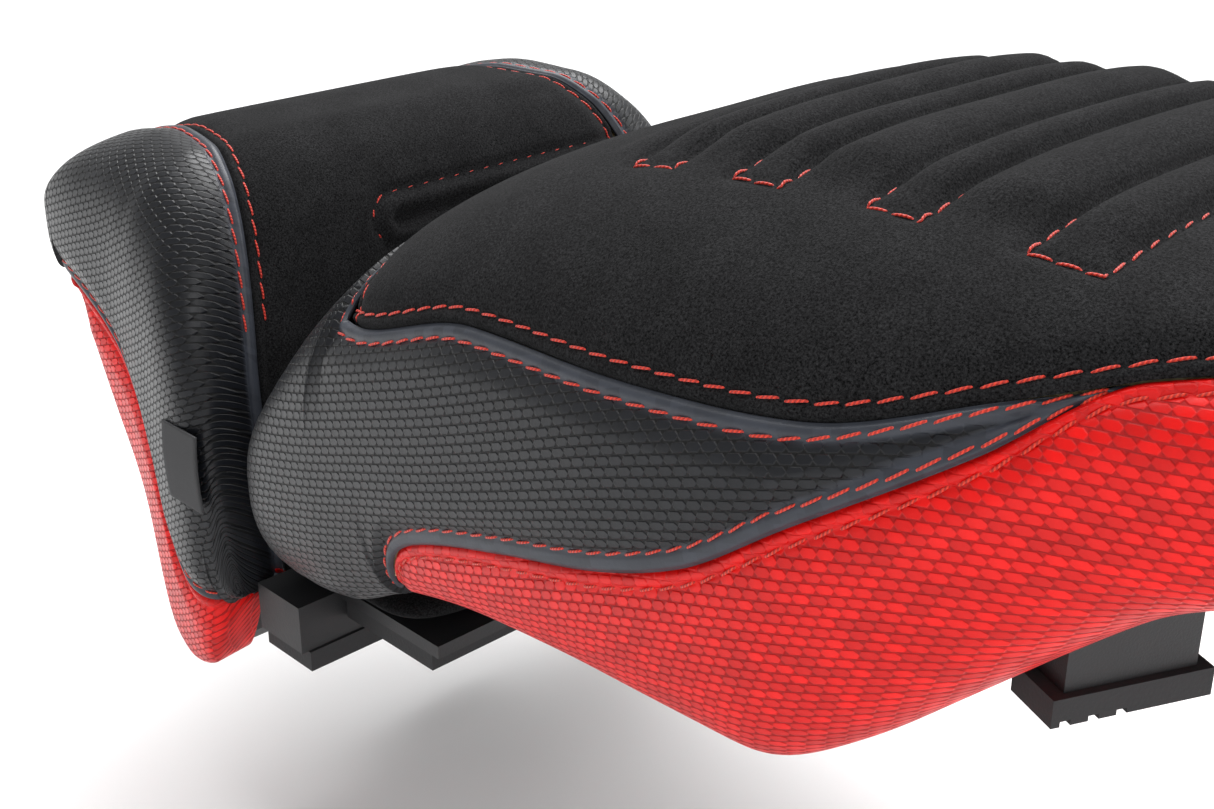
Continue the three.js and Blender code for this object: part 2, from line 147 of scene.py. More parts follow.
# ---- Shape of the rider cushion ----
# A block of moulded foam on a plastic pan, long and broad at the back, narrow at the nose.
# Its skin is worked out once as cross sections, and every sewn panel is cut from that skin.
MM = 0.001
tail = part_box("rider_side_panel_left")[0].x
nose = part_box("rider_skirt_left")[1].x
crown_rise = 7.8  # the highest cross section above the level the seams are given from
end_turn = 5  # millimetres at each end over which the skin closes onto its lower edge
rider = {
    "start": tail / MM, "length": (nose - tail) / MM,
    "half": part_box("rider_side_panel_left")[1].y / MM,
    "level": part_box("rider_centre_panel")[1].z / MM - crown_rise, "round": 3.2,
    "wide": [(0, 0.7), (0.012, 0.82), (0.05, 0.92), (0.1, 0.945), (0.18, 0.965), (0.3, 0.985),
             (0.42, 1), (0.5, 0.99), (0.56, 0.955), (0.61, 0.9), (0.65, 0.83), (0.69, 0.745),
             (0.74, 0.67), (0.81, 0.595), (0.9, 0.53), (0.97, 0.46), (1, 0.34)],
    "crown": [(0, -142), (0.012, -124), (0.04, -98), (0.08, -72), (0.12, -50), (0.17, -30),
              (0.22, -16), (0.28, -5), (0.4, 4), (0.52, 6), (0.62, 5), (0.75, 4),
              (0.9, 8), (0.97, 4), (1, -10)],
    "waist": [(0, -150), (0.05, -134), (0.12, -112), (0.22, -92), (0.4, -80), (0.52, -74),
              (0.61, -58), (0.69, -42), (0.8, -32), (1, -34)],
    "base": [(0, -158), (0.012, -166), (0.05, -172), (0.12, -168), (0.2, -150), (0.3, -140),
             (0.4, -137), (0.5, -137), (0.56, -122), (0.61, -102), (0.65, -84), (0.69, -70),
             (0.76, -62), (0.9, -56), (1, -52)],
    "tuck": [(0, 0.6), (0.012, 0.7), (0.12, 0.8), (0.3, 0.82), (0.5, 0.79), (0.61, 0.68),
             (0.69, 0.54), (0.81, 0.46), (1, 0.28)],
}


def smooth_curve(points, at):
    """A curve through (position, value) points that never overshoots them: cubic pieces whose
    slope at a point is the harmonic mean of the slopes on its two sides."""
    p, v = np.array(points, float).T
    step = np.diff(p)
    slope = np.diff(v) / step
    both = slope[1:] * slope[:-1]
    inside = np.where(both > 0, 2 * both / np.where(both > 0, slope[1:] + slope[:-1], 1), 0)
    m = np.concatenate([[slope[0]], inside, [slope[-1]]])
    at = np.asarray(at, float)
    i = np.clip(np.searchsorted(p, at, side="right") - 1, 0, len(step) - 1)
    t = np.clip((at - p[i]) / step[i], 0, 1)
    s = 1 - t
    return (v[i] * s * s * (1 + 2 * t) + v[i + 1] * t * t * (3 - 2 * t)
            + m[i] * step[i] * t * s * s - m[i + 1] * step[i] * t * t * s)


def soften(table, width):
    """Each row becomes the bell-weighted mean of its neighbours, with the end rows kept."""
    reach = int(3 * width)
    bell = np.exp(-0.5 * (np.arange(-reach, reach + 1) / width) ** 2)
    bell /= bell.sum()
    start = 2 * table[:1] - table[reach:0:-1]
    end = 2 * table[-1:] - table[-2:-reach - 2:-1]
    long = np.concatenate([start, table, end])
    return sum(w * long[k:k + len(table)] for k, w in enumerate(bell))


def wrap_skin(shape, rows=420, columns=260, hem=14, lower_round=2.2):
    """Tabulates half of a cushion's skin. Rows are cross sections along X. Columns are equal
    steps of the distance round the section, from the crown to the widest line (a superellipse),
    on to the tucked hem (another, of exponent `lower_round`), and `hem` millimetres under the
    pan. Over the last `end_turn` millimetres a quarter circle closes the section onto its own
    lower edge."""
    even = np.linspace(0, 1, rows)
    bend = (1 - np.cos(np.linspace(0, np.pi / 2, 14)[:-1])) * end_turn / shape["length"]
    t = 0.55 * (0.5 - 0.5 * np.cos(np.pi * even)) + 0.45 * even
    t = np.unique(np.concatenate([bend, t, 1 - bend]))
    rows = len(t)
    wide = shape["half"] * smooth_curve(shape["wide"], t)
    crown, waist, base = (smooth_curve(shape[k], t) for k in ("crown", "waist", "base"))
    tuck = np.minimum(shape["half"] * smooth_curve(shape["tuck"], t), wide - 2)
    base = np.minimum(base, crown - 4)
    waist = np.clip(waist, base + 2, crown - 2)
    a = np.linspace(0, np.pi / 2, 220)[None]
    upper_y = wide[:, None] * np.sin(a) ** (2 / shape["round"])
    upper_z = waist[:, None] + (crown - waist)[:, None] * np.cos(a) ** (2 / shape["round"])
    lower_y = tuck[:, None] + (wide - tuck)[:, None] * np.cos(a) ** (2 / lower_round)
    lower_z = waist[:, None] - (waist - base)[:, None] * np.sin(a) ** (2 / lower_round)
    b = np.linspace(0.05, 1, 20)[None]
    under_y = np.maximum(tuck[:, None] - hem * b, 1)
    under_z = base[:, None] + 1.5 * b
    y = np.concatenate([upper_y, lower_y[:, 1:], under_y], 1)
    z = np.concatenate([upper_z, lower_z[:, 1:], under_z], 1)
    far = np.concatenate([np.zeros((rows, 1)), np.cumsum(np.hypot(np.diff(y), np.diff(z)), 1)], 1)
    reach = far[:, -1]
    share = np.linspace(0, 1, columns)
    y2 = np.array([np.interp(share * r, f, q) for r, f, q in zip(reach, far, y)])
    z2 = np.array([np.interp(share * r, f, q) for r, f, q in zip(reach, far, z)])
    x = shape["start"] + t * shape["length"]
    y2, z2 = soften(y2, 3), soften(z2, 3)
    short = 1 - np.clip(np.minimum(t, 1 - t) * shape["length"] / end_turn, 0, 1)
    close = np.sqrt(1 - short ** 2)[:, None]
    foot = base[:, None] + 1
    z2 = foot + (z2 - foot) * close
    y2 = y2 - np.minimum(y2, end_turn) * (1 - close)
    return {"x": x, "reach": soften(reach, 3), "y": y2, "z": z2 + shape["level"]}


def on_skin(skin, x, s):
    """The point of a skin at length x and signed distance s from the crown, positive to the
    left: the table is read between its rows and columns."""
    x, s = np.broadcast_arrays(np.asarray(x, float), np.asarray(s, float))
    rows, columns = skin["y"].shape
    i = np.clip(np.searchsorted(skin["x"], x) - 1, 0, rows - 2)
    f = np.clip((x - skin["x"][i]) / (skin["x"][i + 1] - skin["x"][i]), 0, 1)
    reach = skin["reach"][i] * (1 - f) + skin["reach"][i + 1] * f
    c = np.clip(np.abs(s) / reach, 0, 1) * (columns - 1)
    j = np.clip(c.astype(int), 0, columns - 2)
    g = c - j

    def read(table):
        low = table[i, j] * (1 - g) + table[i, j + 1] * g
        high = table[i + 1, j] * (1 - g) + table[i + 1, j + 1] * g
        return low * (1 - f) + high * f

    return np.stack([x, np.where(s < 0, -1, 1) * read(skin["y"]), read(skin["z"])], -1)


def skin_normal(skin, x, s, step=0.8):
    """The outward direction: the cross product of the skin's two directions, each taken as the
    difference between the points `step` millimetres to either side."""
    along = on_skin(skin, x + step, s) - on_skin(skin, x - step, s)
    round_ = on_skin(skin, x, s + step) - on_skin(skin, x, s - step)
    n = np.cross(along, round_)
    return n / np.maximum(np.linalg.norm(n, axis=-1, keepdims=True), 1e-9)


past_turn = end_turn + 0.1


def reach_to_height(skin, x, height):
    """How far round from the crown the skin comes down to `height`, at each x. On the closing
    ends it is what it is where the end turns in."""
    x = np.clip(np.asarray(x, float), skin["x"][0] + past_turn, skin["x"][-1] - past_turn)
    i = np.clip(np.searchsorted(skin["x"], x) - 1, 0, len(skin["x"]) - 2)
    f = np.clip((x - skin["x"][i]) / (skin["x"][i + 1] - skin["x"][i]), 0, 1)[:, None]
    z = skin["z"][i] * (1 - f) + skin["z"][i + 1] * f
    reach = (skin["reach"][i] * (1 - f[:, 0]) + skin["reach"][i + 1] * f[:, 0])
    lowest = np.minimum.accumulate(z, 1)
    k = np.clip((lowest > np.asarray(height)[:, None]).sum(1) - 1, 0, z.shape[1] - 2)
    row = np.arange(len(x))
    top, bottom = lowest[row, k], lowest[row, k + 1]
    g = np.clip((top - height) / np.maximum(top - bottom, 1e-6), 0, 1)
    return (k + g) / (z.shape[1] - 1) * reach


rider_skin = wrap_skin(rider)
end_rows = end_turn * (1 - np.cos(np.linspace(0, np.pi / 2, 12)))  # from an end inwards
shift = rider["start"] + 291  # from the seam tables' lengths, whose tail is at -291, to the frame's
rider_level = rider["level"]
upper_seam = [(-214, -60), (-200, -58), (-147, -42), (-83, -38), (-33, -33), (10, -19), (32, -12)]
lower_seam = [(-206, -190), (-198, -150), (-186, -128), (-172, -119), (-130, -104), (-90, -92),
              (-62, -80), (-31, -58), (8, -31), (32, -12), (90, -4), (250, -4)]
seam_corner = -214 + shift  # where the rear seam meets the two side seams
seam_tip = 32 + shift  # where the side panel ends in a point
rear_crest = -224 + shift  # the rear seam at the middle


def seam_reach(points, x):
    """Distance round from the crown to a side seam given by its height along the length."""
    return reach_to_height(rider_skin, x, smooth_curve(points, x - shift) + rider_level)


# ---- Rider centre panel ----
# Black suede cloth over the whole seating area, sewn to the side panels and skirts.
# Four narrow ribs are stitched round their edge, and soft broad ribs stand between them.
rib_lines = [(-134, -119), (-98, -82), (-55, -39), (-10, 10)]
rib_half_span = 88
rib_middle = 6
rib_rise, swell_rise = 4.2, 5.2  # height of a stitched rib, and of the soft rib between two
rear_swell = 2.0  # height of the soft swelling behind the first rib
line_depth, end_depth = 1.9, 1.3  # depth of the groove along a rib, and across its ends


def rib_relief(x, y):
    """Height added to the skin by the ribs: between two stitch lines a pillow that is a power of
    half a sine, at each line a groove shaped as a bell, and both fade out over the rib ends."""
    x = x - shift
    side = np.abs(y - rib_middle)
    end = np.clip((rib_half_span - side) / 26, 0, 1)
    fade = end * end * (3 - 2 * end)
    broad_end = np.clip((rib_half_span - 2 - side) / 20, 0, 1)
    broad = broad_end * broad_end * (3 - 2 * broad_end)
    lines = [p for pair in rib_lines for p in pair]
    rise = np.zeros_like(x)
    for k, (a, b) in enumerate(zip(lines[:-1], lines[1:])):
        t = np.clip((x - a) / (b - a), 0, 1)
        pillow = np.sin(np.pi * t) ** 0.75
        narrow = k % 2 == 0
        rise += (rib_rise * fade if narrow else swell_rise * broad) * pillow * ((x > a) & (x < b))
    edge = np.clip((rib_half_span - side) / 5, 0, 1)
    for a in lines:
        rise -= line_depth * edge * np.exp(-((x - a) / 1.8) ** 2)
    before = np.clip((lines[0] - x) / 16, 0, 1)
    rise += rear_swell * broad * np.where(x < lines[0], np.sin(np.pi * before) ** 0.8, 0)
    for a, b in rib_lines:
        within = (x > a - 2) & (x < b + 2)
        rise -= end_depth * within * np.exp(-((side - rib_half_span) / 1.6) ** 2)
    return rise


def seam_relief(d, near_stitch, depth=1.5, dip_depth=0.75, puff=1.6):
    """Height beside a sewn edge at distance d: a fold at the edge, a flat band of doubled cloth
    up to the stitch line, a dip under the thread, both shaped as bells, and the foam swelling
    beyond over 9 mm."""
    fold = -depth * np.exp(-(d / 1.1) ** 2)
    dip = -dip_depth * np.exp(-((d - near_stitch) / 1.1) ** 2)
    t = np.clip((d - near_stitch) / 9, 0, 1)
    return fold + dip - 0.6 + puff * t * t * (3 - 2 * t)


edge_steps = np.array([0, 0.3, 0.6, 1, 1.5, 2.1, 2.8, 3.4, 3.9, 4.4, 4.9, 5.5, 6.3, 7.4, 9, 11,
                       13.5])  # columns beside a seam, in millimetres from it


def across(low, high, middle):
    """Columns from low to high at each row, close together near both edges and even between."""
    width = high - low
    squeeze = np.minimum(1, width / (2.2 * edge_steps[-1]))[:, None]
    first = low[:, None] + edge_steps * squeeze
    last = high[:, None] - edge_steps[::-1] * squeeze
    t = np.linspace(0, 1, middle + 2)[1:-1]
    return np.concatenate([first, first[:, -1:] + (last[:, :1] - first[:, -1:]) * t, last], 1)


def sewn_panel(name, skin, x, s, relief, material, band=0, flip=False, thick=1.6):
    """A panel of cover cut from a skin: x and s are tables of places on it, and relief is how far
    each lies off it along the normal. Its own map, in metres, is the length x and the distance
    round from the crown less the crown's height, so the weave stays square on an upright flank.
    The attribute band is 1 on the doubled cloth beside a seam."""
    places = on_skin(skin, x, s) + skin_normal(skin, x, s) * relief[..., None]
    band = np.broadcast_to(band, s.shape)
    if flip:
        places, x, s, band = (table[:, ::-1] for table in (places, x, s, band))
    below = np.abs(s) - np.interp(x, skin["x"], skin["z"][:, 0])
    piece = grid_mesh(name, places * MM, np.stack([x, below], -1) * MM)
    marks = piece.data.attributes.new("band", "FLOAT", "POINT")
    marks.data.foreach_set("value", band.reshape(-1).astype(np.float32))
    piece.data.materials.append(material)
    wall = piece.modifiers.new("wall", "SOLIDIFY")
    wall.thickness = thick * MM
    wall.offset = -1
    return piece


def node_material(name):
    """A new node material, as the material, its tree, its Principled shader and a function that
    adds nodes to that tree."""
    material = bpy.data.materials.new(name)
    material.use_nodes = True
    tree = material.node_tree

    def add(kind, *inputs, **settings):
        return add_node(tree, kind, *inputs, **settings)

    return material, tree, tree.nodes["Principled BSDF"], add


def add_node(tree, kind, inputs=(), **settings):
    """Adds a node, sets its settings, and links or sets its inputs from (input, value) pairs."""
    node = tree.nodes.new("ShaderNode" + kind)
    for key, value in settings.items():
        setattr(node, key, value)
    for key, value in inputs:
        if isinstance(value, bpy.types.NodeSocket):
            tree.links.new(value, node.inputs[key])
        else:
            node.inputs[key].default_value = value
    return node


suede, tree, shader, add = node_material("black_suede")
place = add("TexCoord")
nap = add("TexNoise", [("Vector", place.outputs["Object"]), ("Scale", 1500), ("Detail", 4),
                       ("Roughness", 0.85)])
clumps = add("TexNoise", [("Vector", place.outputs["Object"]), ("Scale", 70), ("Detail", 3)])
ramp = add("ValToRGB", [("Fac", nap.outputs["Fac"])])
ramp.color_ramp.elements[0].position = 0.38
ramp.color_ramp.elements[0].color = (0.0012, 0.0012, 0.0013, 1)
ramp.color_ramp.elements[1].position = 0.7
ramp.color_ramp.elements[1].color = (0.042, 0.042, 0.044, 1)
worn = add("MapRange", [("Value", clumps.outputs["Fac"]), ("To Min", 0.55), ("To Max", 1.25)])
tone = add("Mix", [("Factor", 1.0), ("A", ramp.outputs["Color"]), ("B", worn.outputs["Result"])],
           data_type="RGBA", blend_type="MULTIPLY")
fuzz = add("Bump", [("Strength", 0.55), ("Distance", 0.0004), ("Height", nap.outputs["Fac"])])
tree.links.new(tone.outputs["Result"], shader.inputs["Base Color"])
tree.links.new(fuzz.outputs["Normal"], shader.inputs["Normal"])
shader.inputs["Roughness"].default_value = 0.95
shader.inputs["Specular IOR Level"].default_value = 0.05
shader.inputs["Sheen Weight"].default_value = 0.04
shader.inputs["Sheen Roughness"].default_value = 0.45
shader.inputs["Sheen Tint"].default_value = (0.8, 0.8, 0.82, 1)


def beside(tables, distance, edge):
    """The line of a panel's tables that runs `distance` inside its low, high or rear edge."""
    k = np.searchsorted(edge_steps, distance) - 1
    f = (distance - edge_steps[k]) / (edge_steps[k + 1] - edge_steps[k])
    lines = {"low": lambda t: (t[:, k], t[:, k + 1]),
             "high": lambda t: (t[:, -1 - k], t[:, -2 - k]),
             "rear": lambda t: (t[k], t[k + 1])}
    return [near * (1 - f) + far * f for near, far in map(lines[edge], tables)]


def sewn_thread(name, skin, lines, body, pitch=7.4, radius=0.4):
    """One mesh of many stitches. Each line is tables of x, s and height on a skin. It is cut into
    equal steps, and each step holds one round thread that follows the line, slants across it,
    rises as the root of a sine and dips into the cloth at both ends. The attribute twist holds
    the distance along the thread and the cosine and sine of the angle round it."""
    u = np.linspace(0, 1, 11)
    v = np.arange(7) * 2 * np.pi / 7
    rings, twists = [], []
    for x, s, height in lines:
        up = skin_normal(skin, x, s)
        path = on_skin(skin, x, s) + up * np.asarray(height)[..., None]
        far = np.concatenate([[0], np.cumsum(np.linalg.norm(np.diff(path, axis=0), axis=1))])
        count = max(int(far[-1] / pitch), 1)
        where = (np.arange(count)[:, None] + 0.05 + 0.9 * u) * far[-1] / count
        centre = np.stack([np.interp(where, far, path[:, k]) for k in range(3)], -1)
        normal = np.stack([np.interp(where, far, up[:, k]) for k in range(3)], -1)
        forward = np.gradient(centre, axis=1)
        forward /= np.maximum(np.linalg.norm(forward, axis=-1, keepdims=True), 1e-9)
        side = np.cross(normal, forward)
        rise = -0.5 + 0.9 * np.sin(np.pi * u) ** 0.4
        centre = centre + normal * rise[:, None] + side * ((u - 0.5) * 0.8)[:, None]
        thick = radius * (1 - 0.4 * np.abs(2 * u - 1) ** 4)
        round_ = np.cos(v)[:, None] * side[:, :, None] + np.sin(v)[:, None] * normal[:, :, None]
        rings.append(centre[:, :, None] + round_ * thick[:, None, None])
        twist = np.stack(np.broadcast_arrays(where[:, :, None] * MM, np.cos(v), np.sin(v)), -1)
        twists.append(twist)
    rings, twists = np.concatenate(rings), np.concatenate(twists)
    total, m, n = rings.shape[:3]
    index = np.arange(total * m * n).reshape(total, m, n)
    turned = np.roll(index, -1, axis=2)
    quads = np.stack([index[:, :-1], turned[:, :-1], turned[:, 1:], index[:, 1:]], -1)
    quads = quads.reshape(-1, 4)
    caps = np.concatenate([index[:, 0, ::-1], index[:, -1]])
    mesh = bpy.data.meshes.new(name)
    mesh.from_pydata((rings * MM).reshape(-1, 3), [], quads.tolist() + caps.tolist())
    marks = mesh.attributes.new("twist", "FLOAT_VECTOR", "POINT")
    marks.data.foreach_set("vector", twists.reshape(-1).astype(np.float32))
    mesh.polygons.foreach_set("use_smooth", np.ones(len(mesh.polygons), bool))
    mesh.materials.append(thread)
    piece = bpy.data.objects.new(name, mesh)
    scene.collection.objects.link(piece)
    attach(piece, body)


thread, tree, shader, add = node_material("orange_red_thread")
twist = add("SeparateXYZ", [("Vector", add("Attribute", attribute_name="twist").outputs["Vector"])])
twist_rate = 5200.0  # radians of twist in the strands for each metre of thread
phase = add("Math", [(0, twist.outputs["X"]), (1, twist_rate)], operation="MULTIPLY").outputs[0]
sine = add("Math", [(0, phase)], operation="SINE").outputs[0]
cosine = add("Math", [(0, phase)], operation="COSINE").outputs[0]
one = add("Math", [(0, sine), (1, twist.outputs["Y"])], operation="MULTIPLY").outputs[0]
ply = add("Math", [(0, cosine), (1, twist.outputs["Z"]), (2, one)],
          operation="MULTIPLY_ADD").outputs[0]
strand = add("MapRange", [("Value", ply), ("From Min", -1.0), ("From Max", 1.0)])
# The colour follows the strand relief: darker in the grooves between the plies as painted shade.
shade = add("Mix", [("Factor", strand.outputs["Result"]), ("A", (0.4, 0.008, 0.003, 1)),
                    ("B", (0.9, 0.045, 0.012, 1))], data_type="RGBA")
groove = add("Bump", [("Strength", 0.7), ("Distance", 0.0003),
                      ("Height", strand.outputs["Result"])])
tree.links.new(shade.outputs["Result"], shader.inputs["Base Color"])
tree.links.new(groove.outputs["Normal"], shader.inputs["Normal"])
shader.inputs["Roughness"].default_value = 0.5
shader.inputs["Sheen Weight"].default_value = 0.2

stitch_gap = 4.6  # millimetres from a seam to the stitches beside it
end_x = rider["start"] + rider["length"]
nose_rows = np.linspace(5.6, 3.8, 14)  # distances from the nose over which the suede's width ends


def nose_turn(x):
    """1 along the side seams, falling to 0 as a square root where the seam crosses the nose."""
    return np.sqrt(np.clip((end_x - x - nose_rows[-1]) / 1.8, 0, 1))


rows = np.concatenate([edge_steps[:-3], np.arange(12, end_x - seam_corner - 6, 1.9),
                       end_x - seam_corner - nose_rows])
side_x = seam_corner + rows
side_reach = np.where(side_x < seam_tip, seam_reach(upper_seam, np.minimum(side_x, seam_tip)),
                      seam_reach(lower_seam, side_x)) * np.maximum(nose_turn(side_x), 0.01)
suede_s = across(-side_reach, side_reach, 110)
turn = np.abs(suede_s / side_reach[:, None])
fade_back = np.clip(1 - rows / 90, 0, 1)[:, None]
suede_x = side_x[:, None] + (rear_crest - seam_corner) * (1 - turn ** 2) * fade_back


def suede_height(x, s, from_side, from_rear):
    """Height of the rider's suede over its skin: ribs, sewn edges and the uneven foam below."""
    y = on_skin(rider_skin, x, s)[..., 1]
    uneven = 0.35 * np.sin(x / 31 + 1) * np.sin(s / 23) + 0.2 * np.sin(x / 13) * np.cos(s / 17)
    return (rib_relief(x, y) + seam_relief(from_side, stitch_gap)
            + seam_relief(from_rear, stitch_gap) - 1.0 + uneven)


from_side = side_reach[:, None] - np.abs(suede_s)
from_rear = np.broadcast_to(rows[:, None], suede_s.shape)
relief = suede_height(suede_x, suede_s, from_side, from_rear)
rider_centre = sewn_panel("rider_centre_panel_cover", rider_skin, suede_x, suede_s, relief,
                          suede, flip=True)
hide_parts("rider_centre_panel")
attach(rider_centre, "rider_section")

tables = (suede_x, suede_s, relief)
lines = [beside(tables, stitch_gap, edge) for edge in ("low", "high", "rear")]
for low, high in rib_lines:
    corners = np.array([(low, -1), (high, -1), (high, 1), (low, 1), (low, -1)], float)
    t = np.linspace(0, 4, 400)
    x = np.interp(t, np.arange(5), corners[:, 0]) + shift
    side = np.interp(t, np.arange(5), corners[:, 1])
    s = rib_middle + side * rib_half_span
    s = s + 0.35 * (s - on_skin(rider_skin, x, s)[:, 1])
    s = s + (rib_middle + side * rib_half_span - on_skin(rider_skin, x, s)[:, 1])
    lines.append((x, s, suede_height(x, s, np.full_like(x, 40), np.full_like(x, 40)) + 0.25))
sewn_thread("rider_suede_stitches", rider_skin, lines, "rider_section")

# ---- Rider side panels ----
# Black vinyl embossed with a fine basket of raised cells. Each panel wraps the tail of the
# cushion, meets its twin at the back, and runs forward to a point on the flank.
cells = bpy.data.node_groups.new("embossed_cells", "ShaderNodeTree")
for name, kind in (("Vector", "NodeSocketVector"), ("Cell Length", "NodeSocketFloat"),
                   ("Cell Width", "NodeSocketFloat"), ("Turn", "NodeSocketFloat")):
    cells.interface.new_socket(name, in_out="INPUT", socket_type=kind)
for name in ("Height", "Tone"):
    cells.interface.new_socket(name, in_out="OUTPUT", socket_type="NodeSocketFloat")
given = cells.nodes.new("NodeGroupInput")
result = cells.nodes.new("NodeGroupOutput")


def cell_math(operation, *values):
    """A math node of the cell group, fed with sockets or numbers; gives its output."""
    return add_node(cells, "Math", list(enumerate(values)), operation=operation).outputs[0]


turned = add_node(cells, "VectorRotate", [("Vector", given.outputs["Vector"]),
                                          ("Angle", given.outputs["Turn"])],
                  rotation_type="Z_AXIS").outputs[0]
parts = add_node(cells, "SeparateXYZ", [("Vector", turned)])
v_cell = cell_math("DIVIDE", parts.outputs["Y"], given.outputs["Cell Width"])
row = cell_math("FLOOR", v_cell)
along = cell_math("DIVIDE", parts.outputs["X"], given.outputs["Cell Length"])
u_cell = cell_math("MULTIPLY_ADD", row, 0.5, along)  # each row is half a cell on from the last
u_part = cell_math("SUBTRACT", cell_math("FRACT", u_cell), 0.5)
v_part = cell_math("SUBTRACT", cell_math("FRACT", v_cell), 0.5)
u_side = cell_math("ABSOLUTE", u_part)
v_side = cell_math("ABSOLUTE", v_part)
slanted = cell_math("MULTIPLY_ADD", u_side, 1.55, cell_math("MULTIPLY", v_side, 0.85))
edge_near = cell_math("MAXIMUM", cell_math("MULTIPLY", v_side, 2.0), slanted)
pillow = add_node(cells, "MapRange", [("Value", edge_near), ("From Min", 1.0),
                                      ("From Max", 0.7)],
                  interpolation_type="SMOOTHERSTEP").outputs["Result"]
# The lean also reaches the colour through the height, so one side of each cell is painted lighter
# as a painted highlight.
leaning = cell_math("MULTIPLY", pillow, cell_math("MULTIPLY_ADD", u_part, 0.7, 1.0))
cell_place = add_node(cells, "CombineXYZ", [("X", cell_math("FLOOR", u_cell)),
                                            ("Y", row)]).outputs[0]
# A random tone for each cell, used in the colour as painted light and shade in place of the light
# each tilted cell catches.
painted_cell_glint = add_node(cells, "TexWhiteNoise", [("Vector", cell_place)]).outputs["Value"]
cells.links.new(leaning, result.inputs["Height"])
cells.links.new(painted_cell_glint, result.inputs["Tone"])


def embossed_vinyl(name, groove_shade_colour, top_colour, band_colour_and_sheen, roughness, turn_angle):
    """Vinyl with raised cells 4.6 by 2.7 mm: duller in the grooves and darker there as painted
    shade, with one side of each cell lighter as a painted highlight and each cell's tone varied at
    random as painted light and shade; smooth on sewn bands, whose colour on the grey is a painted
    highlight (sheen); and turned by `turn_angle` in the panel's own map."""
    material, tree, shader, add = node_material(name)
    cloth = add("UVMap", uv_map="cloth").outputs["UV"]
    band = add("Attribute", attribute_name="band").outputs["Fac"]
    group = add("Group", node_tree=cells)
    tree.links.new(cloth, group.inputs["Vector"])
    group.inputs["Cell Length"].default_value = 0.0046
    group.inputs["Cell Width"].default_value = 0.0027
    group.inputs["Turn"].default_value = turn_angle
    grain = add("TexNoise", [("Vector", add("TexCoord").outputs["Object"]), ("Scale", 900),
                             ("Detail", 5)])
    raised = add("Mix", [("Factor", band), ("A", group.outputs["Height"]), ("B", 0.75)],
                 data_type="FLOAT")
    height = raised.outputs["Result"]
    # The colour follows the cell height: darker in the grooves as painted shade, lighter on the
    # cell tops.
    woven = add("Mix", [("Factor", height), ("A", groove_shade_colour), ("B", top_colour)],
                data_type="RGBA")
    # On the sewn band the colour becomes the band colour; on the grey vinyl this is a painted
    # highlight standing in for the sheen of the smooth band.
    colour = add("Mix", [("Factor", band), ("A", woven.outputs["Result"]), ("B", band_colour_and_sheen)],
                 data_type="RGBA")
    # Each cell's random tone scales its colour: painted light and shade of cells tilted to the
    # light.
    painted_cell_tone = add("MapRange", [("Value", group.outputs["Tone"]), ("To Min", 0.8), ("To Max", 1.15)])
    shade = add("Mix", [("Factor", 1.0), ("A", colour.outputs["Result"]),
                        ("B", painted_cell_tone.outputs["Result"])],
                data_type="RGBA", blend_type="MULTIPLY")
    dull = add("MapRange", [("Value", height), ("To Min", roughness + 0.22),
                            ("To Max", roughness)])
    sheen = add("Math", [(0, grain.outputs["Fac"]), (1, 0.12), (2, dull.outputs["Result"])],
                operation="MULTIPLY_ADD")
    surface = add("Math", [(0, grain.outputs["Fac"]), (1, 0.16), (2, height)],
                  operation="MULTIPLY_ADD")
    bump = add("Bump", [("Strength", 0.75), ("Distance", 0.0005), ("Height", surface.outputs[0])])
    tree.links.new(shade.outputs["Result"], shader.inputs["Base Color"])
    tree.links.new(sheen.outputs[0], shader.inputs["Roughness"])
    tree.links.new(bump.outputs["Normal"], shader.inputs["Normal"])
    shader.inputs["Specular IOR Level"].default_value = 0.3
    return material


# The grey's band colour, about five times lighter than its cell tops, is a painted highlight
# (sheen); the red's is close to its own red. Both groove colours are painted shade.
vinyl_grey = embossed_vinyl("black_embossed_vinyl", (0.001, 0.001, 0.0014, 1),
                            (0.0085, 0.0095, 0.0125, 1), (0.045, 0.05, 0.063, 1), 0.28, 0.35)
vinyl_red = embossed_vinyl("red_embossed_vinyl", (0.42, 0.001, 0.0008, 1),
                           (0.8, 0.004, 0.0025, 1), (0.7, 0.003, 0.002, 1), 0.3, 0.35)


def seam_band(d, near_stitch):
    """1 within the doubled cloth beside a seam, falling to 0 past the stitch line."""
    return np.clip((near_stitch + 1.2 - d) / 1.2, 0, 1)


even = np.linspace(0, 1, 25)[1:]
wrap_x = np.concatenate([rider["start"] + end_rows,
                         np.linspace(rider["start"] + end_turn, rear_crest, 50)[1:],
                         rear_crest + (seam_corner - rear_crest) * even ** 2,
                         np.arange(seam_corner + 2, seam_tip, 2.0), [seam_tip]])
rear_turn = np.clip((wrap_x - rear_crest) / (seam_corner - rear_crest), 0, 1) ** 0.5
corner_reach = seam_reach(upper_seam, np.array([seam_corner]))[0]
wrap_top = np.where(wrap_x < seam_corner, rear_turn * corner_reach, seam_reach(upper_seam, wrap_x))
hem_reach = np.interp(wrap_x, rider_skin["x"], rider_skin["reach"])
hem_end = -203 + shift  # where the lower seam starts from the hem
wrap_low = np.where(wrap_x < hem_end, hem_reach, seam_reach(lower_seam, wrap_x))
wrap_low = np.minimum(wrap_low, hem_reach)
wrap_low = np.maximum(wrap_low, wrap_top + 0.2)
grey_s = across(wrap_top, wrap_low, 40)
grey_x = np.broadcast_to(wrap_x[:, None], grey_s.shape)
below_top = grey_s - wrap_top[:, None]
above_low = wrap_low[:, None] - grey_s
seam_start = 12  # length over which a seam's fold and band grow from nothing
has_top = np.clip((wrap_x - rear_crest + seam_start) / seam_start, 0, 1)[:, None]
has_low = np.clip((wrap_x - hem_end + seam_start) / seam_start, 0, 1)[:, None]
low_gap = stitch_gap + 1.5
